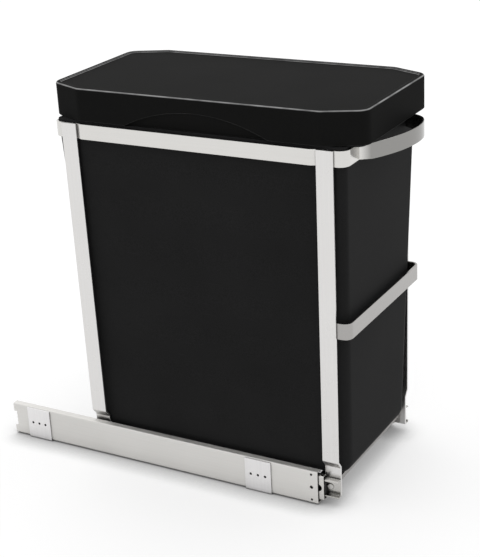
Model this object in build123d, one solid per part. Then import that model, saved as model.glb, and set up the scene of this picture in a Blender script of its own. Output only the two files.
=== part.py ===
from build123d import *
from collections import namedtuple
import math
import os

# Pull-out waste bin for a kitchen base cabinet: two full-extension ball-bearing slides on floor
# brackets, a welded frame of flat steel bar between them, and a lidded plastic bin in the frame.
# Millimetres. +X is the way the bin pulls out, +Z is up, and the XZ plane is the plane of symmetry.
# "left" is the -Y side. The origin is under the middle of the overall box, on the cabinet floor.

# Slides
slide_length = 457.0
slide_height = 44.0
slide_thickness = 12.7
slide_spread = 226.4          # over the outer faces of the two outer rails
rail_wall = 1.2
rail_bend = 1.8
outer_lip = 2.2
middle_lip = 1.6
drawer_lip = 1.5
outer_web_gap = 1.2           # between the outer and middle rails' webs, where the outer cage runs
inner_web_gap = 0.8           # from the middle rail's web to the drawer rail's lips
web_clearance = 0.7           # from the middle rail's lips to the drawer rail's web
middle_lead = 7.0             # middle rail's front end past the outer rail's
drawer_margin = 8.0           # drawer rail's front end past the front base bar

# Balls and their cages
outer_ball = 4.0
inner_ball = 3.0
ball_play = 0.1
ball_pitch = 17.0
balls_per_row = 6
cage_wall = 0.4
cage_play = 0.3

# Floor brackets
bracket_wall = 1.6
bracket_width = 36.0
bracket_drop = 1.0            # bracket's top edge below the top of the rail
bracket_reach = 37.0          # how far the foot reaches in under the slide
bracket_bend = 2.4
front_bracket_inset = 81.0    # centre of the bracket in from the outer rail's front end
rear_bracket_inset = 42.0     # and from its rear end
side_hole = 3.4
side_hole_pitch = 10.0
floor_hole = 4.5
floor_hole_pitch = 20.0
floor_hole_depth = 25.5       # centre of the floor holes inboard of the outer rail's outer face

# Holes and the notch in the outer rail's web
end_hole = 3.2
end_hole_middle = 4.6
end_hole_back = 8.2
end_hole_pitch = 17.2
notch_length = 4.5
notch_height = 21.0
pip_size = 3.0
pip_pitch = 6.2
access_hole = 9.0

# Frame of flat bar
bar_wall = 2.5
bar_width = 21.0
bar_edge = 0.5                # rounding of the bar's rolled edges
band_height = 18.7
frame_top = 447.6
frame_spread = 215.0          # over the outer faces of the uprights
frame_back = 151.7            # centre of the frame and the bin behind the outer rails' front ends
upright_inset = 24.7          # upright's centre line in from the band's end, at the top
upright_lean = 4.0            # how much further in the centre line is at the foot
foot_clearance = 1.0          # foot's bottom edge above the drawer rail's
joggle_clearance = 5.4        # from the outer rail's top up to the step in the upright
joggle_height = 9.0
joggle_bend = 3.0
joggle_run = 6.0              # length of the band's step beside each upright
joggle_gap = 1.0
band_half_length = 195.2
band_corner = 12.0
handle_half_chord = 68.7
handle_reach = 42.7           # how far the handle bows out from the front of the band
handle_lift = 5.4             # how much it rises towards its crown
handle_level = 12.0           # how far out it runs level first, under the bin's flange
handle_bend = 20.0            # bend radius where it starts to rise
strap_bottom = 222.7
strap_height = 20.0
strap_corner = 10.0

# Base bars
base_wall = 2.0
base_rise = 5.4               # top of the base bars above the slides' centre
base_overhang = 2.2           # base bar's outer edge past the centre line of the feet
base_width = 26.0
base_lip = 6.0
base_end_height = 15.0
base_end_width = 12.0
tab_width = 3.0
tab_height = 2.5
tab_pitch = 70.0
rivet_shank = 4.0
rivet_head = 8.0
rivet_head_height = 1.5
rivet_tail = 5.6
rivet_play = 0.05
rivet_inset = 5.0             # rivet's centre in from the base bar's outer edge

# Slide buffers
buffer_length = 6.0
buffer_play = 0.3
rear_stop_wall = 2.0

# Bin
bin_floor_gap = 0.3           # above the base bar's tabs
bin_wall = 2.5
bin_end_gap = 0.5             # inside the top band, at the top of the tapered body
bin_side_gap = 0.5
bin_draft_length = 12.0       # how much each end draws in towards the bottom
bin_draft_width = 7.0
bin_corner = 9.0              # plan radius at the top
bin_foot_corner = 22.0        # and at the bottom
bin_bottom_round = 16.0
flange_seat = 0.1
flange_wall = 2.5

# Lid
lid_lead = 4.7                # lid's centre ahead of the frame's
lid_overhang = 12.8           # past each end of the top band, lid's centre on the frame's
lid_side_inset = 2.3          # inside the uprights' outer faces
lid_chamfer_x = 48.0
lid_chamfer_y = 20.0
lid_corner = 16.0             # rounding between the lid's sides
lid_height = 40.6
lid_wall = 3.0
lid_shoulder = 2.2
lid_turn_in = 1.0
lid_play = 0.2
rim_inset = 10.0              # bin's standing rim inside the lid's outer outline
rim_top_play = 4.0
flange_inset = 7.0
lip_inset = 8.5
panel_inset = 6.0
panel_drop = 1.7
panel_round = 1.0
ridge_round = 0.6
scoop_half_chord = 97.0
scoop_height = 23.0
scoop_top_depth = 1.2
scoop_bottom_depth = 6.2
scoop_edge_wall = 2.0

# Sizes and places worked out from the sizes above
outer_mouth = slide_thickness - 2 * rail_wall - web_clearance
middle_web = rail_wall + outer_web_gap
middle_mouth = slide_thickness - rail_wall - web_clearance
drawer_mouth = middle_web + rail_wall + inner_web_gap
front_reach = band_half_length - frame_back + handle_reach
overall_length = slide_length + front_reach
rail_front = overall_length / 2 - front_reach
rail_rear = rail_front - slide_length
frame_x = rail_front - frame_back
rail_bottom = bracket_wall
rail_centre = rail_bottom + slide_height / 2
rail_face = -slide_spread / 2
frame_face = -frame_spread / 2
foot_face = rail_face + slide_thickness
half_outer = slide_height / 2
half_middle = half_outer - rail_wall - outer_ball - 2 * ball_play
half_drawer = half_middle - rail_wall - inner_ball - 2 * ball_play
rail_top = rail_bottom + slide_height
upright_span_top = 2 * (band_half_length - upright_inset)
upright_span_foot = upright_span_top - 2 * upright_lean
foot_bottom = rail_centre - half_drawer + foot_clearance
joggle_foot = rail_top + joggle_clearance
joggle_top = joggle_foot + joggle_height
base_top = rail_centre + base_rise
base_edge = upright_span_foot / 2 + base_overhang
drawer_lead = base_edge - frame_back + drawer_margin
bin_bottom = base_top + tab_height + bin_floor_gap
bin_half_length = band_half_length - bar_wall - bin_end_gap
bin_half_width = frame_spread / 2 - 2 * bar_wall - bin_side_gap
lid_length = 2 * (band_half_length + lid_overhang)
lid_width = frame_spread - 2 * lid_side_inset
lid_x = frame_x + lid_lead
flange_bottom = frame_top + flange_seat
flange_top = flange_bottom + flange_wall
lid_bottom = flange_top + lid_play
lid_top = lid_bottom + lid_height
lid_ceiling = lid_top - panel_drop - lid_wall
rim_top = lid_ceiling - rim_top_play

os.makedirs("parts", exist_ok=True)


def save(shape, node):
    solids = shape.solids()
    export_step(solids[0] if len(solids) == 1 else Compound(list(solids)), "parts/" + node + ".step")


def save_pair(shape, name):
    save(shape, "left_" + name)
    save(mirror(shape, about=Plane.XZ), "right_" + name)


def block(x0, x1, y0, y1, z0, z1):
    return Pos((x0 + x1) / 2, (y0 + y1) / 2, (z0 + z1) / 2) * Box(x1 - x0, y1 - y0, z1 - z0)


def along_x(profile, x0, x1):
    return extrude(Plane.YZ.offset(x0) * profile, x1 - x0)


def along_z(outline, z0, z1):
    return extrude(Plane.XY.offset(z0) * outline, z1 - z0)


def pin_y(diameter, y0, y1, x, z):
    return Pos(x, (y0 + y1) / 2, z) * Rot(90, 0, 0) * Cylinder(diameter / 2, y1 - y0)


def channel(web, mouth, half, wall, lip, bend):
    # C section in the YZ plane: web and mouth are the outer faces' Y, with lips turned in at the mouth.
    centre = (web + mouth) / 2
    depth = abs(mouth - web)
    toward_mouth = math.copysign(1, mouth - web)
    outer = fillet(Rectangle(depth, 2 * half).vertices(), bend)
    inner = fillet(Rectangle(depth - 2 * wall, 2 * (half - wall)).vertices(), bend - wall)
    gap = Pos(toward_mouth * depth / 2, 0) * Rectangle(4 * wall, 2 * (half - wall - lip))
    return Pos(centre, rail_centre) * (outer - inner - gap)


def octagon(inset):
    # The lid's plan, drawn in by an even inset all round.
    half_x = lid_length / 2 - inset
    half_y = lid_width / 2 - inset
    spare = lid_chamfer_x + lid_chamfer_y - math.hypot(lid_chamfer_x, lid_chamfer_y)
    cut_x = lid_chamfer_x - inset * spare / lid_chamfer_y
    cut_y = lid_chamfer_y - inset * spare / lid_chamfer_x
    quarter = [(half_x, half_y - cut_y), (half_x - cut_x, half_y)]
    points = quarter + [(-x, y) for x, y in quarter[::-1]]
    points += [(-x, -y) for x, y in points]
    outline = make_face(Polyline(*points, close=True))
    return Pos(lid_x, 0) * fillet(outline.vertices(), lid_corner - inset)


# ---- slides ----

def bracket_centres():
    return rail_front - front_bracket_inset, rail_rear + rear_bracket_inset


def side_hole_places():
    return [centre + i * side_hole_pitch for centre in bracket_centres() for i in (-1, 0, 1)]


def outer_rail():
    # Web outboard, with the screw holes and the notched rear end of a stamped rail.
    rail = along_x(channel(rail_face, rail_face + outer_mouth, half_outer, rail_wall, outer_lip, rail_bend),
                   rail_rear, rail_front)
    through = (rail_face - rail_wall, rail_face + 2 * rail_wall)
    for x in side_hole_places():
        rail -= pin_y(side_hole, *through, x, rail_centre)
    for i, size in ((-1, end_hole), (0, end_hole_middle), (1, end_hole)):
        rail -= pin_y(size, *through, rail_front - end_hole_back, rail_centre + i * end_hole_pitch)
    notch = block(rail_rear - 1, rail_rear + notch_length, *through,
                  rail_centre - notch_height / 2, rail_centre + notch_height / 2)
    return rail - notch


def bracket(centre):
    # Bent plate: an upright leg welded to the rail's outer face and a foot that reaches in under it.
    leg_face = rail_face - bracket_wall
    foot_end = rail_face + bracket_reach
    x0, x1 = centre - bracket_width / 2, centre + bracket_width / 2
    profile = Polyline((leg_face, 0), (foot_end, 0), (foot_end, bracket_wall), (rail_face, bracket_wall),
                       (rail_face, rail_top - bracket_drop), (leg_face, rail_top - bracket_drop), close=True)
    face = make_face(profile)
    face = fillet(face.vertices().group_by(Axis.Y)[0].sort_by(Axis.X)[0], bracket_bend)
    plate = along_x(face, x0, x1)
    for i in (-1, 0, 1):
        plate -= pin_y(side_hole, leg_face - 1, rail_face + 1, centre + i * side_hole_pitch, rail_centre)
    for i in (-1, 1):
        hole = Cylinder(floor_hole / 2, 4 * bracket_wall)
        plate -= Pos(centre + i * floor_hole_pitch / 2, rail_face + floor_hole_depth, 0) * hole
    return plate


def rear_stop():
    # Rubber strip across the outer rail's rear end, with three pips that show in the notch.
    wide = half_drawer - 1
    y0, y1 = rail_face + rail_bend, rail_face + outer_mouth - rail_bend
    x1 = rail_rear + middle_lead - buffer_play
    stop = block(x1 - rear_stop_wall, x1, y0, y1, rail_centre - wide, rail_centre + wide)
    for i in (-1, 0, 1):
        pip = Rot(0, 90, 0) * Cylinder(pip_size / 2, rear_stop_wall)
        stop += Pos(x1 - 1.5 * rear_stop_wall, y0 + pip_size / 2, rail_centre + i * pip_pitch) * pip
    foot = block(x1 - rear_stop_wall, x1, y0, y1, rail_centre - half_outer + rail_wall, rail_centre - wide)
    return stop + foot


def middle_rail():
    rail = along_x(channel(rail_face + middle_web, rail_face + middle_mouth, half_middle, rail_wall,
                           middle_lip, rail_bend), rail_rear + middle_lead, rail_front + middle_lead)
    web = rail_face + middle_web
    return rail - pin_y(access_hole, web - rail_wall, web + 2 * rail_wall, rail_front, rail_centre)


def rivet_places():
    return frame_x + base_edge - rivet_inset, frame_x - base_edge + rivet_inset


def drawer_rail():
    rail = along_x(channel(foot_face, rail_face + drawer_mouth, half_drawer, rail_wall, drawer_lip,
                           rail_bend), rail_rear + drawer_lead, rail_front + drawer_lead)
    for x in rivet_places():
        rail -= pin_y(rivet_shank + 2 * rivet_play, foot_face - 2 * rail_wall, foot_face + rail_wall,
                      x, rail_centre)
    return rail


def drawer_buffer():
    # Nylon block pressed into the front of the drawer rail's channel.
    y0, y1 = rail_face + drawer_mouth + rail_wall + buffer_play, foot_face - rail_wall
    half = half_drawer - rail_wall
    x1 = rivet_places()[0] - rivet_head / 2 - buffer_play
    piece = block(x1 - buffer_length, x1, y0, y1, rail_centre - half, rail_centre + half)
    piece = fillet(piece.edges().filter_by(Axis.X), rail_bend - rail_wall)
    return fillet(piece.edges().filter_by(Axis.Y).group_by(Axis.X)[-1], buffer_length / 3)


# Where a cage sits: centre in X, depths of its web and mouth from the outer rail's outer face, height
# of the ball rows above and below the rail's centre, and the ball's size.
Race = namedtuple("Race", "centre web mouth height ball")


def outer_race():
    # Centred on the stretch that the outer and middle rails share.
    return Race(centre=rail_front - (slide_length - middle_lead) / 2, web=rail_wall + cage_play,
                mouth=outer_mouth - rail_wall - cage_play,
                height=half_outer - rail_wall - ball_play - outer_ball / 2, ball=outer_ball)


def inner_race():
    # Centred on the stretch that the middle and drawer rails share.
    return Race(centre=rail_front - (slide_length - middle_lead - drawer_lead) / 2,
                web=middle_web + rail_wall + cage_play / 2, mouth=middle_mouth - rail_wall - cage_play,
                height=half_middle - rail_wall - ball_play - inner_ball / 2, ball=inner_ball)


def ball_places(race):
    # Two rows of ball centres, in the middle of the cage's flanges.
    first = race.centre - ball_pitch * (balls_per_row - 1) / 2
    depth = (race.web + cage_wall + race.mouth) / 2
    return [(first + i * ball_pitch, rail_face + depth, rail_centre + side * race.height)
            for i in range(balls_per_row) for side in (-1, 1)]


def cage(race):
    # Thin C-shaped retainer whose flanges carry the balls in round windows.
    x0 = race.centre - ball_pitch * balls_per_row / 2
    x1 = race.centre + ball_pitch * balls_per_row / 2
    half = race.height + cage_wall / 2
    web, mouth = rail_face + race.web, rail_face + race.mouth
    shell = block(x0, x1, web, mouth, rail_centre - half, rail_centre + half)
    shell -= block(x0 - 1, x1 + 1, web + cage_wall, mouth + 1,
                   rail_centre - half + cage_wall, rail_centre + half - cage_wall)
    for place in ball_places(race):
        shell -= Pos(*place) * Cylinder(race.ball / 2 + ball_play, 4 * cage_wall)
    return shell


def balls(race):
    return Compound([Pos(*place) * Sphere(race.ball / 2) for place in ball_places(race)])


# ---- frame ----

def upright(toward):
    # Flat bar that leans in a little towards its foot, where it steps in behind the drawer rail. It is
    # made overlong and cut level at both ends.
    spare = 2.0
    rise = bar_wall / 2
    outer = [(frame_face, frame_top + spare), (frame_face, joggle_top),
             (foot_face, joggle_foot), (foot_face, foot_bottom - spare)]
    inner = [(foot_face + bar_wall, foot_bottom - spare), (foot_face + bar_wall, joggle_foot + rise),
             (frame_face + bar_wall, joggle_top + rise), (frame_face + bar_wall, frame_top + spare)]
    face = make_face(Polyline(*outer, *inner, close=True))
    bends = [v for v in face.vertices() if joggle_foot - 1 < v.Y < joggle_top + bar_wall]
    bar = along_x(fillet(bends, joggle_bend), -bar_width / 2, bar_width / 2)
    bar = fillet(bar.faces().group_by(Axis.X)[0].edges() + bar.faces().group_by(Axis.X)[-1].edges(), bar_edge)
    lean = math.degrees(math.atan2((upright_span_top - upright_span_foot) / 2, frame_top - foot_bottom))
    foot = Pos(frame_x + toward * upright_span_foot / 2, 0, foot_bottom)
    bar = foot * Rot(0, toward * lean, 0) * Pos(0, 0, -foot_bottom) * bar
    bar &= block(rail_rear, rail_front + front_reach, frame_face - 1, 0, foot_bottom, frame_top)
    hole_x = rivet_places()[0 if toward > 0 else 1]
    return bar - pin_y(rivet_shank + 2 * rivet_play, foot_face - 1, foot_face + bar_wall + 1,
                       hole_x, rail_centre)


def soft_edged(bar):
    # Rounds the long edges of a bar that stands on edge.
    long_edges = bar.edges().filter_by(
        lambda edge: edge.length > 2 * bar_wall and edge.bounding_box().size.Z < strap_height / 2)
    return fillet(long_edges, bar_edge)


def ribbon(path, wall, z0, z1):
    # A closed line in plan, thickened evenly both ways and raised to a bar standing on edge.
    loop = make_face(path)
    outer = offset(loop, wall / 2, kind=Kind.INTERSECTION)
    inner = offset(loop, -wall / 2, kind=Kind.INTERSECTION)
    return along_z(outer - inner, z0, z1)


def top_band():
    # One closed loop that bows out at the front as the pull handle. It lies flush with the uprights
    # between them and steps in behind each one, where it is welded.
    behind = frame_face + bar_wall * 1.5
    flush = frame_face + bar_wall / 2
    front = frame_x + band_half_length - bar_wall / 2
    rear = frame_x - band_half_length + bar_wall / 2
    step = upright_span_top / 2 - bar_width / 2 - joggle_gap
    near_side = [(frame_x + step, behind), (frame_x + step - joggle_run, flush),
                 (frame_x - step + joggle_run, flush), (frame_x - step, behind)]
    far_side = [(x, -y) for x, y in near_side[::-1]]
    points = [(front, -handle_half_chord), (front, behind), *near_side, (rear, behind),
              (rear, -behind), *far_side, (front, -behind), (front, handle_half_chord)]
    corner = band_corner - bar_wall / 2
    bends = [joggle_bend] * len(near_side)
    back = FilletPolyline(*points, radius=[corner, *bends, corner, corner, *bends, corner])
    bow = ThreePointArc((front, handle_half_chord), (front + handle_reach, 0), (front, -handle_half_chord))
    bottom = frame_top - band_height
    loop = ribbon(back + bow, bar_wall, bottom, frame_top + handle_lift)
    # Seen from the side, the band runs level past its front and then rises to the handle's crown.
    x0, x1, x2 = rear - bar_width, front + bar_wall / 2 + handle_level, front + handle_reach + bar_wall / 2
    outline = make_face(Polyline((x0, bottom), (x1, bottom), (x2, bottom + handle_lift),
                                 (x2, frame_top + handle_lift), (x1, frame_top), (x0, frame_top), close=True))
    outline = fillet(outline.vertices().group_by(Axis.X)[1], handle_bend)
    side = extrude(Plane.XZ.offset(-frame_spread) * outline, 2 * frame_spread)
    return soft_edged(loop & side)


def mid_strap():
    # Open strap round the bin's front, with its ends welded inside the front uprights.
    side = frame_face + bar_wall
    front = frame_x + band_half_length
    tail = frame_x + upright_span_foot / 2 - bar_width / 2 + 3
    outer = block(tail, front, side, -side, strap_bottom, strap_bottom + strap_height)
    outer = fillet(outer.edges().filter_by(Axis.Z).group_by(Axis.X)[-1], strap_corner)
    inner = block(tail - 1, front - bar_wall, side + bar_wall, -side - bar_wall,
                  strap_bottom - 1, strap_bottom + strap_height + 1)
    inner = fillet(inner.edges().filter_by(Axis.Z).group_by(Axis.X)[-1], strap_corner - bar_wall)
    return soft_edged(outer - inner)


def base_bar(toward, tabs):
    # Folded plate across the two drawer rails, with a lip along its outer edge and ends turned down.
    edge = frame_x + toward * base_edge
    end = foot_face + bar_wall

    def reach(a, b):
        return sorted((edge - toward * a, edge - toward * b))

    bar = block(*reach(0, base_width), end, -end, base_top - base_wall, base_top)
    bar += block(*reach(0, base_wall), end, -end, base_top - base_lip, base_top)
    for side in (-1, 1):
        y0, y1 = sorted((side * -end, side * (-end - base_wall)))
        bar += block(*reach(0, base_end_width), y0, y1, base_top - base_end_height, base_top)
    for i in tabs:
        bar += block(*reach(0, base_wall), i * tab_pitch - tab_width / 2, i * tab_pitch + tab_width / 2,
                     base_top, base_top + tab_height)
    hole = pin_y(rivet_shank + 2 * rivet_play, end - base_wall, -end + base_wall,
                 edge - toward * rivet_inset, rail_centre)
    return bar - hole


def rivets():
    # One rivet through each foot: drawer rail's web, upright and base bar's end.
    pieces = []
    y0, y1 = foot_face - rail_wall, foot_face + bar_wall + base_wall
    for x in rivet_places():
        shank = pin_y(rivet_shank, y0, y1, x, rail_centre)
        head = pin_y(rivet_head, y0 - rivet_head_height, y0, x, rail_centre)
        head = fillet(head.edges().group_by(Axis.Y)[0], rivet_head_height * 0.6)
        tail = pin_y(rivet_tail, y1, y1 + rivet_head_height, x, rail_centre)
        tail = fillet(tail.edges().group_by(Axis.Y)[-1], rivet_head_height * 0.6)
        rivet = shank + head + tail
        pieces += [rivet, mirror(rivet, about=Plane.XZ)]
    return Compound([p.solids()[0] for p in pieces])


# ---- bin and lid ----

def bin_plan(z, inset):
    # The tapered body's outline at a height, drawn in by an even inset.
    share = (flange_bottom - z) / (flange_bottom - bin_bottom)
    half_x = bin_half_length - inset - share * bin_draft_length
    half_y = bin_half_width - inset - share * bin_draft_width
    corner = bin_corner + share * (bin_foot_corner - bin_corner) - inset
    return Pos(frame_x, 0) * RectangleRounded(2 * half_x, 2 * half_y, corner)


def tapered_body(inset):
    bottom = bin_bottom + inset
    body = loft([Plane.XY.offset(z) * bin_plan(z, inset) for z in (bottom, flange_bottom)], ruled=True)
    return fillet(body.edges().group_by(Axis.Z)[0], bin_bottom_round - inset)


def bin_shell():
    outer = tapered_body(0)
    inner = tapered_body(bin_wall)
    mouth = octagon(rim_inset + bin_wall)
    flange = along_z(octagon(flange_inset) + bin_plan(flange_bottom, 0), flange_bottom, flange_top)
    flange -= along_z(bin_plan(flange_bottom, bin_wall) & mouth, flange_bottom, flange_top)
    rim = along_z(octagon(rim_inset), flange_top, rim_top) - along_z(mouth, flange_top, rim_top)
    return (outer - inner) + flange + rim


def scoop_cutter(side, depth_offset, arch_offset):
    # Wedge under a low arch: shallow at the arch's crown and deep at the skirt's bottom edge.
    radius = (scoop_half_chord ** 2 + scoop_height ** 2) / (2 * scoop_height)
    y_face = lid_width / 2
    far = y_face + 5
    slope = (scoop_bottom_depth - scoop_top_depth) / scoop_height
    below = 2.0
    profile = Polyline((far, lid_bottom - below), (far, lid_bottom + scoop_height + 2 * below),
                       (y_face - scoop_top_depth - depth_offset + slope * 2 * below,
                        lid_bottom + scoop_height + 2 * below),
                       (y_face - scoop_bottom_depth - depth_offset - slope * below, lid_bottom - below),
                       close=True)
    wedge = along_x(make_face(profile), lid_x - scoop_half_chord - 20, lid_x + scoop_half_chord + 20)
    centre = lid_bottom + scoop_height - radius
    arch = Pos(lid_x, y_face, centre) * Rot(90, 0, 0) * Cylinder(radius + arch_offset, lid_width)
    cutter = wedge & arch
    return cutter if side > 0 else mirror(cutter, about=Plane.XZ)


def lid_shell():
    shell = along_z(octagon(0), lid_bottom, lid_top)
    shell = fillet(shell.edges().group_by(Axis.Z)[-1], lid_shoulder)
    shell = chamfer(shell.edges().group_by(Axis.Z)[0], lid_turn_in, lid_turn_in * 0.9)
    turn = lip_inset - lid_wall
    cavity = along_z(octagon(lid_wall), lid_bottom + flange_wall, lid_ceiling)
    cavity = chamfer(cavity.edges().group_by(Axis.Z)[0], turn * 0.9, turn)
    for side in (-1, 1):
        shell -= scoop_cutter(side, 0, 0)
        cavity -= scoop_cutter(side, scoop_edge_wall, scoop_edge_wall)
    mouth = along_z(octagon(lip_inset), lid_bottom - 1, lid_bottom + flange_wall)
    panel = along_z(octagon(panel_inset), lid_top - panel_drop, lid_top + 1)
    panel = fillet(panel.edges().group_by(Axis.Z)[0], panel_round)
    shell = shell - cavity - mouth - panel
    ridge_top = shell.faces().sort_by(Axis.Z)[-1]
    return fillet(ridge_top.inner_wires()[0].edges(), ridge_round)


save_pair(outer_rail(), "outer_rail")
save_pair(bracket(bracket_centres()[0]), "front_bracket")
save_pair(bracket(bracket_centres()[1]), "rear_bracket")
save_pair(rear_stop(), "rear_stop")
save_pair(middle_rail(), "middle_rail")
save_pair(cage(outer_race()), "outer_cage")
save_pair(balls(outer_race()), "outer_balls")
save_pair(cage(inner_race()), "inner_cage")
save_pair(balls(inner_race()), "inner_balls")
save_pair(drawer_rail(), "drawer_rail")
save_pair(drawer_buffer(), "drawer_buffer")
save_pair(upright(1), "front_upright")
save_pair(upright(-1), "rear_upright")
save(top_band(), "top_band")
save(mid_strap(), "mid_strap")
save(base_bar(1, (-1, 0, 1)), "front_base_bar")
save(base_bar(-1, ()), "rear_base_bar")
save(rivets(), "frame_rivets")
save(bin_shell(), "bin")
save(lid_shell(), "lid")
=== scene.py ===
import math

import bpy
from mathutils import Matrix, Vector


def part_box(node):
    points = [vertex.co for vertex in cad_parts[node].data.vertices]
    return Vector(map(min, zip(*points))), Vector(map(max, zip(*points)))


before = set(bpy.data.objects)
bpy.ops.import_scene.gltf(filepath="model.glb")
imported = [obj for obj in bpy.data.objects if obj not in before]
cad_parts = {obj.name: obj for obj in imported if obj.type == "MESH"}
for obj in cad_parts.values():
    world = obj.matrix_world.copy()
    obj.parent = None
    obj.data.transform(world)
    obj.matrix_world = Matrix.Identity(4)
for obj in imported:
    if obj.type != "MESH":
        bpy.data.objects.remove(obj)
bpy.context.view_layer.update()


# ---- Outer rails -----------------------------------------------------------------------------
# The fixed members of the two slides, cold-rolled from steel strip and bright zinc plated. The
# rolls leave fine lines along them, the plating is a little cloudy, and the folded edges are
# rubbed brighter than the faces, which also paints a highlight along them. Painted shade darkens
# the crevices.
class Wire:
    # A socket's value in a node tree, added and multiplied as numbers are.
    def __init__(self, tree, socket):
        self.tree = tree
        self.socket = socket

    def into(self, target):
        self.tree.links.new(self.socket, target)

    def combine(self, operation, first, second):
        return Nodes(self.tree).add("Math", {"operation": operation}, {0: first, 1: second})

    def __add__(self, other):
        return self.combine("ADD", self, other)

    def __sub__(self, other):
        return self.combine("SUBTRACT", self, other)

    def __rsub__(self, other):
        return self.combine("SUBTRACT", other, self)

    def __mul__(self, other):
        return self.combine("MULTIPLY", self, other)

    __radd__ = __add__
    __rmul__ = __mul__


class Nodes:
    # The node tree of a finish or of the light around the unit.
    def __init__(self, tree):
        self.tree = tree

    def add(self, kind, settings={}, sockets={}, output=0):
        made = self.tree.nodes.new("ShaderNode" + kind)
        for name, value in settings.items():
            setattr(made, name, value)
        for name, value in sockets.items():
            if isinstance(value, Wire):
                value.into(made.inputs[name])
            else:
                made.inputs[name].default_value = value
        return Wire(self.tree, made.outputs[output])

    def noise(self, place, size, detail=2.0):
        # Soft blotches about as large as the size given, in metres.
        return self.add("TexNoise", {}, {"Vector": place, "Scale": 1 / size, "Detail": detail})

    def drawn(self, place, x, y, z):
        # Noise drawn out to streaks: how far it runs along X, Y and Z, in metres.
        streak = self.add("Mapping", {}, {"Vector": place, "Scale": (1 / x, 1 / y, 1 / z)})
        return self.add("TexNoise", {}, {"Vector": streak, "Scale": 1.0, "Detail": 3.0})

    def ramp(self, value, low, high, at_low=0.0, at_high=1.0):
        return self.add("MapRange", {}, {"Value": value, "From Min": low, "From Max": high,
                                         "To Min": at_low, "To Max": at_high})

    def blend(self, share, first, second):
        # The colours go by number, since this node has several sockets of each name.
        sides = [side if isinstance(side, Wire) else (*side, 1) for side in (first, second)]
        return self.add("Mix", {"data_type": "RGBA"}, {0: share, 6: sides[0], 7: sides[1]}, 2)

    def open_space(self, reach, samples):
        # 1 on an open face and less where another face stands within reach, in metres.
        return self.add("AmbientOcclusion", {"samples": samples}, {"Distance": reach}, "AO")


class Finish(Nodes):
    # One surface finish. Its place is the point on the unit, in metres.
    def __init__(self, name, **constants):
        self.material = bpy.data.materials.new(name)
        self.material.use_nodes = True
        super().__init__(self.material.node_tree)
        self.shader = self.tree.nodes["Principled BSDF"]
        self.place = self.add("TexCoord", output="Object")
        self.feed(**constants)

    def feed(self, **inputs):
        for name, value in inputs.items():
            socket = self.shader.inputs[name.replace("_", " ").title().replace("Ior", "IOR")]
            if isinstance(value, Wire):
                value.into(socket)
            else:
                socket.default_value = value

    def rounded_edges(self, radius):
        # The shading of slightly rounded edges, and a mask that grows from 0 on a flat face to 1
        # where the rounding has turned the face well away.
        flat_face, well_turned = 0.999, 0.93
        soft = self.add("Bevel", {"samples": 6}, {"Radius": radius})
        flat = self.add("NewGeometry", output="Normal")
        facing = self.add("VectorMath", {"operation": "DOT_PRODUCT"}, {0: soft, 1: flat}, "Value")
        return soft, self.ramp(facing, flat_face, well_turned)

    def relief(self, height, depth, over):
        bump = self.add("Bump", {}, {"Height": height, "Strength": 0.4, "Distance": depth,
                                     "Normal": over})
        self.feed(normal=bump)

    def coat(self, *names):
        for name in names:
            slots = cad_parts[name].data.materials
            slots.clear()
            slots.append(self.material)


def shade(colour, share):
    return tuple(min(1.0, share * c) for c in colour)


def zinc_plate(name, colour, streak, roughness, edge=0.0005):
    # Rolled steel under bright zinc: roll lines, cloudy plating, edges rubbed brighter, which also
    # paints a highlight along them, and painted shade in the crevices. The streak is how far a
    # roll line runs along X, Y and Z, in metres.
    cloud_size, patch_size, crevice_shade_reach, line_depth = 0.016, 0.07, 0.007, 0.000012
    dull, pale, bright, crevice_shade_colour = (shade(colour, share) for share in (0.97, 1.03, 1.15, 0.22))
    finish = Finish(name, metallic=1.0)
    # Painted highlight, partly real rubbing: rounded edges are coloured brighter than the faces.
    soft, rubbed_and_highlit = finish.rounded_edges(edge)
    cloud = finish.noise(finish.place, cloud_size, 3.0)
    patch = finish.noise(finish.place, patch_size)
    lines = finish.drawn(finish.place, *streak)
    uneven = lines * 0.6 + cloud * 0.2 + patch * 0.2
    plate = finish.blend(finish.ramp(uneven, 0.36, 0.64), dull, pale)
    # Painted shade: where other faces stand close, the colour is darkened towards a shade colour.
    painted_crevice_shade = finish.ramp(finish.open_space(crevice_shade_reach, 6), 0.75, 0.25)
    finish.colour = finish.blend(painted_crevice_shade, finish.blend(rubbed_and_highlit, plate, bright), crevice_shade_colour)
    gloss = finish.ramp(cloud + lines, 0.7, 1.3, roughness - 0.04, roughness + 0.05)
    finish.feed(base_color=finish.colour, roughness=gloss - rubbed_and_highlit * 0.1)
    finish.relief(lines, line_depth, soft)
    return finish


along_rail = (0.2, 0.0006, 0.0006)
rolled = zinc_plate("zinc_plated_outer_rail", colour=(0.73, 0.72, 0.7), streak=along_rail,
                    roughness=0.62)
rolled.coat("left_outer_rail", "right_outer_rail")

# ---- Middle rails ----------------------------------------------------------------------------
# The members that run on balls between the other two, rolled from the same zinc plated strip.
# The balls have burnished them smoother, and they are painted a little darker than the outer
# rails, as painted shade for the gap they run in.
# Painted shade: the colour is set darker than the outer rails' for the shade between the rails.
burnished = zinc_plate("zinc_plated_middle_rail", colour=(0.62, 0.61, 0.59), streak=along_rail,
                       roughness=0.24)
burnished.coat("left_middle_rail", "right_middle_rail")

# ---- Drawer rails ----------------------------------------------------------------------------
# The inner members that carry the bin's frame, rolled from the same strip and riveted to its
# feet. They are burnished too, and painted darker still, as painted shade for the gaps between
# the rails.
# Painted shade: the darker colour stands in for the shade between the rails.
carrier = zinc_plate("zinc_plated_drawer_rail", colour=(0.52, 0.51, 0.49), streak=along_rail,
                     roughness=0.24)
carrier.coat("left_drawer_rail", "right_drawer_rail")

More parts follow.
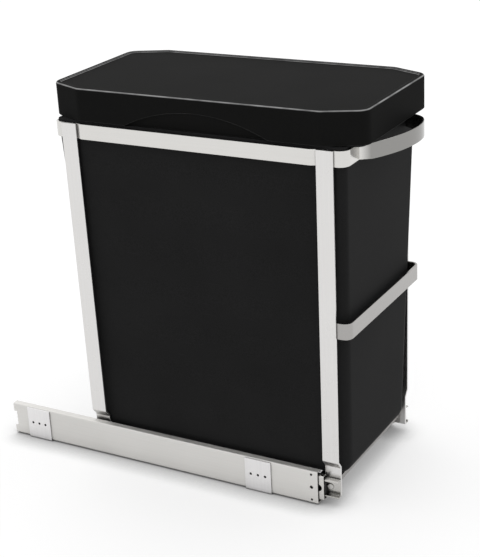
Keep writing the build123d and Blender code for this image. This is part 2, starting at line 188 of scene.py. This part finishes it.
# ---- Floor brackets --------------------------------------------------------------------------
# Bent plates welded to the outer rails and screwed to the cabinet floor. They are cut across the
# strip, so their roll lines stand upright, and barrel plating leaves them slightly matt.
bracket_plate = zinc_plate("zinc_plated_bracket", colour=(0.8, 0.79, 0.79),
                           streak=(0.002, 0.002, 0.06), roughness=0.42)
bracket_plate.coat("left_front_bracket", "right_front_bracket",
                   "left_rear_bracket", "right_rear_bracket")


# ---- Rear stops ------------------------------------------------------------------------------
# Black rubber strips, each moulded with three pips and pressed across the rear end of an outer
# rail. Dust gives them a grey bloom.
def moulding(name, colour, grain, roughness, ior, edge_scuff_and_highlight, highlit_shoulder=False):
    # A moulded part: fine grain, uneven gloss, faint scuffs, and edges scuffed paler, which also
    # paints a highlight along them. The grain is its size in metres.
    edge_radius, gloss_size, wear_size, grain_depth = 0.0006, 0.11, 0.02, 0.00006
    scuff_streak = (0.05, 0.004, 0.0015)
    dark, pale = shade(colour, 0.75), shade(colour, 1.3)
    scratched = tuple(2.5 * c + 0.002 for c in colour)
    finish = Finish(name, ior=ior)
    soft, scuffed_and_highlit = finish.rounded_edges(edge_radius)
    if highlit_shoulder:
        # A painted highlight lies on the rounded shoulder, which faces neither straight up nor
        # straight out.
        facing = finish.add("NewGeometry", output="Normal")
        upward = finish.add("SeparateXYZ", {}, {"Vector": facing}, "Z")
        shoulder_highlight = finish.ramp(upward, 0.25, 0.55) * finish.ramp(upward, 0.97, 0.85)
        scuffed_and_highlit = scuffed_and_highlit * 0.3 + shoulder_highlight
    fine = finish.noise(finish.place, grain, 3.0)
    gloss = finish.noise(finish.place, gloss_size, 3.0)
    scuff = finish.ramp(finish.drawn(finish.place, *scuff_streak), 0.68, 0.78)
    body = finish.blend(finish.ramp(gloss * 0.3 + fine * 0.7, 0.36, 0.64), dark, pale)
    marked = finish.blend(scuff * 0.3, body, scratched)
    # Painted highlight, partly real scuffing: the rounded edges take the paler edge colour.
    worn_and_highlit = scuffed_and_highlit * finish.ramp(finish.noise(finish.place, wear_size), 0.3, 0.6, 0.5, 1.0)
    sheen = finish.ramp(gloss, 0.35, 0.65, roughness - 0.02, roughness + 0.03)
    finish.feed(base_color=finish.blend(worn_and_highlit, marked, edge_scuff_and_highlight), roughness=sheen + scuff * 0.03)
    finish.relief(fine, grain_depth, soft)
    return finish


stop_rubber = moulding("stop_rubber", colour=(0.015, 0.015, 0.015), grain=0.0012, roughness=0.65,
                       ior=1.4, edge_scuff_and_highlight=(0.03, 0.03, 0.03))
stop_rubber.coat("left_rear_stop", "right_rear_stop")

# ---- Drawer buffers --------------------------------------------------------------------------
# Black moulded nylon blocks, pressed into the front ends of the drawer rails. They are smoother
# than the rubber stops, with the same pale rubbed corners, which also paint a highlight.
buffer_nylon = moulding("buffer_nylon", colour=(0.012, 0.012, 0.012), grain=0.0008, roughness=0.4,
                        ior=1.4, edge_scuff_and_highlight=(0.03, 0.03, 0.03))
buffer_nylon.coat("left_drawer_buffer", "right_drawer_buffer")

# ---- Ball cages ------------------------------------------------------------------------------
# Retainers stamped from thin plated strip, which lie loose between two rails and keep the balls
# apart. Oil from the ball tracks leaves them darker than the rails.
cage_strip = zinc_plate("cage_strip", colour=(0.55, 0.54, 0.5), streak=(0.04, 0.0015, 0.0015),
                        roughness=0.3, edge=0.0002)
cage_strip.coat("left_outer_cage", "left_inner_cage", "right_outer_cage", "right_inner_cage")

# ---- Balls -----------------------------------------------------------------------------------
# Hardened steel balls, polished all over and lightly scored by the tracks. They sit in the holes
# of the cages, and the rails run on them.
ball_steel = zinc_plate("ball_steel", colour=(0.7, 0.7, 0.71), streak=(0.0015, 0.0015, 0.0015),
                        roughness=0.14, edge=0.0001)
ball_steel.coat("left_outer_balls", "left_inner_balls", "right_outer_balls", "right_inner_balls")

# ---- Uprights --------------------------------------------------------------------------------
# Flat steel bar with rolled edges, drawn lengthwise, so the lines run up it. Each is joggled at
# the foot and welded to the band.
upright_bar = zinc_plate("upright_bar", colour=(0.71, 0.7, 0.69), streak=(0.0006, 0.0006, 0.15),
                         roughness=0.3)
upright_bar.coat("left_front_upright", "right_front_upright",
                 "left_rear_upright", "right_rear_upright")

# ---- Top band --------------------------------------------------------------------------------
# One flat bar standing on edge, bent to a closed loop and bowed out in front as the handle.
# Bending has polished it more than the uprights, and the bow is painted darker, a painted
# reflection of darker surroundings in front of it.
handle_start, handle_full = 0.23, 0.24
painted_bow_reflection = (0.19, 0.187, 0.18)
band_bar = zinc_plate("band_bar", colour=(0.66, 0.65, 0.63), streak=(0.12, 0.12, 0.0006),
                      roughness=0.14)
# Painted reflection: the bow, ahead of the handle's start, is coloured darker.
ahead = band_bar.add("SeparateXYZ", {}, {"Vector": band_bar.place}, "X")
bow_painted_share = band_bar.ramp(ahead, handle_start, handle_full)
band_bar.feed(base_color=band_bar.blend(bow_painted_share * 0.8, band_bar.colour, painted_bow_reflection))
band_bar.coat("top_band")

# ---- Middle strap ----------------------------------------------------------------------------
# A flat steel bar like the band's, bent round the front of the bin and welded inside the front
# uprights. It is painted darker than them, a painted reflection of darker surroundings in front.
# Painted reflection: the darker colour stands in for what its front mirrors.
strap_bar = zinc_plate("strap_bar", colour=(0.38, 0.37, 0.36), streak=(0.12, 0.12, 0.0006),
                       roughness=0.2)
strap_bar.coat("mid_strap")

# ---- Base bars -------------------------------------------------------------------------------
# Steel plates folded lengthwise and laid across from one drawer rail to the other, under the bin,
# where they are riveted. They are rolled crosswise, and painted darker as painted shade, since
# they lie out of the light.
# Painted shade: the dark colour stands in for the shade under the bin.
base_plate = zinc_plate("base_plate", colour=(0.32, 0.31, 0.3), streak=(0.0015, 0.12, 0.0015),
                        roughness=0.36)
base_plate.coat("front_base_bar", "rear_base_bar")

# ---- Rivets ----------------------------------------------------------------------------------
# Steel rivets through the drawer rails, the feet of the uprights and the ends of the base bars.
# Their hammered heads are duller than the bars.
rivet_steel = zinc_plate("rivet_steel", colour=(0.58, 0.57, 0.55), streak=(0.002, 0.002, 0.002),
                         roughness=0.4)
rivet_steel.coat("frame_rivets")

# ---- Bin -------------------------------------------------------------------------------------
# Black moulded polypropylene, satin outside, with flow marks in its gloss and light scuffs where
# it slides past the frame. It hangs by its flange on the top band.
bin_plastic = moulding("bin_plastic", colour=(0.0178, 0.0178, 0.018), grain=0.0009,
                       roughness=0.62, ior=1.12, edge_scuff_and_highlight=(0.026, 0.026, 0.027))
bin_plastic.coat("bin")

# ---- Lid -------------------------------------------------------------------------------------
# A loose lid of the same plastic with a finely textured panel. Its raised rim carries a painted
# highlight, a pale line painted along the rounded shoulder.
lid_plastic = moulding("lid_plastic", colour=(0.0085, 0.0085, 0.0083), grain=0.0007,
                       roughness=0.72, ior=1.12, edge_scuff_and_highlight=(0.34, 0.34, 0.34),
                       highlit_shoulder=True)
lid_plastic.coat("lid")


# ---- Paper floor -----------------------------------------------------------------------------
# A sheet of white paper with a fine fibre, rolled out flat under the unit. It takes the unit's
# shadow, and a painted shadow dims its glow close to the unit, darkest right under the rails. It
# looks evenly white further out.
def looked_at(nodes):
    # 1 for what is seen directly, mirrored or through something, 0 for the light it sheds.
    return (nodes.add("LightPath", output="Is Camera Ray")
            + nodes.add("LightPath", output="Is Glossy Ray")
            + nodes.add("LightPath", output="Is Transmission Ray"))


paper_width, fibre_size, painted_shadow_reach, whiteness = 12, 0.003, 0.035, 0.6
fibre_dark, fibre_pale = (0.44, 0.44, 0.44), (0.46, 0.46, 0.46)
bpy.ops.mesh.primitive_plane_add(size=paper_width)
floor = bpy.context.object
floor.name = "paper_floor"
paper = Finish("floor_paper", roughness=0.9, specular_ior_level=0.0)
fibre = paper.noise(paper.place, fibre_size, 3.0)
sheet = paper.blend(paper.ramp(fibre, 0.3, 0.7), fibre_dark, fibre_pale)
paper_seen = looked_at(paper)
clear = paper.open_space(painted_shadow_reach, 8)
# Painted shadow: the glow that whitens the paper fades where the unit stands close above it.
glow = paper.blend(paper_seen * clear * clear * whiteness, (0, 0, 0), (1, 1, 1))
paper.feed(base_color=sheet, emission_color=glow, emission_strength=1.0)
floor.data.materials.append(paper.material)

# ---- Studio light ----------------------------------------------------------------------------
# A white cloth surround, hung on all sides, lights the unit evenly. One wide lamp overhead and a
# little behind the unit throws the soft shadow under the rails.
surround_sheds, surround_shows = 0.8, 1.0
surround = bpy.data.worlds.new("white_surround")
bpy.context.scene.world = surround
surround.use_nodes = True
dome = Nodes(surround.node_tree)
dome_seen = looked_at(dome)
backdrop = surround.node_tree.nodes["Background"]
backdrop.inputs["Color"].default_value = (1, 1, 1, 1)
dome_strength = dome.ramp(dome_seen, 0.0, 1.0, surround_sheds, surround_shows)
dome_strength.into(backdrop.inputs["Strength"])

lamp_power, lamp_spread = 0.7, math.radians(50)
lamp_tip_back, lamp_tip_side = math.radians(-12), math.radians(-8)
lamp = bpy.data.lights.new("overhead_light", "SUN")
lamp.energy = lamp_power
lamp.angle = lamp_spread
overhead = bpy.data.objects.new("overhead_light", lamp)
bpy.context.collection.objects.link(overhead)
overhead.rotation_euler = (lamp_tip_back, lamp_tip_side, 0)

# ---- Viewpoint -------------------------------------------------------------------------------
# A long lens looks down on the unit from its near front corner, leaning a little. Its place is
# given in metres from the front end of the near outer rail, on the cabinet floor.
past_rail, to_near_side, above_floor = 0.6547, -1.3954, 0.8844
turn, tilt, lean = math.radians(30.21), math.radians(90 - 22.06), math.radians(-3.16)
focal_length = 88.83
rail_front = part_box("left_outer_rail")[1][0]
stand = Vector((rail_front + past_rail, to_near_side, above_floor))
long_lens = bpy.data.cameras.new("long_lens")
long_lens.lens = focal_length
camera = bpy.data.objects.new("long_lens", long_lens)
bpy.context.collection.objects.link(camera)
camera.matrix_world = (Matrix.Translation(stand) @ Matrix.Rotation(turn, 4, "Z")
                       @ Matrix.Rotation(tilt, 4, "X") @ Matrix.Rotation(lean, 4, "Z"))
bpy.context.scene.camera = camera
bpy.context.scene.view_settings.view_transform = "Standard"
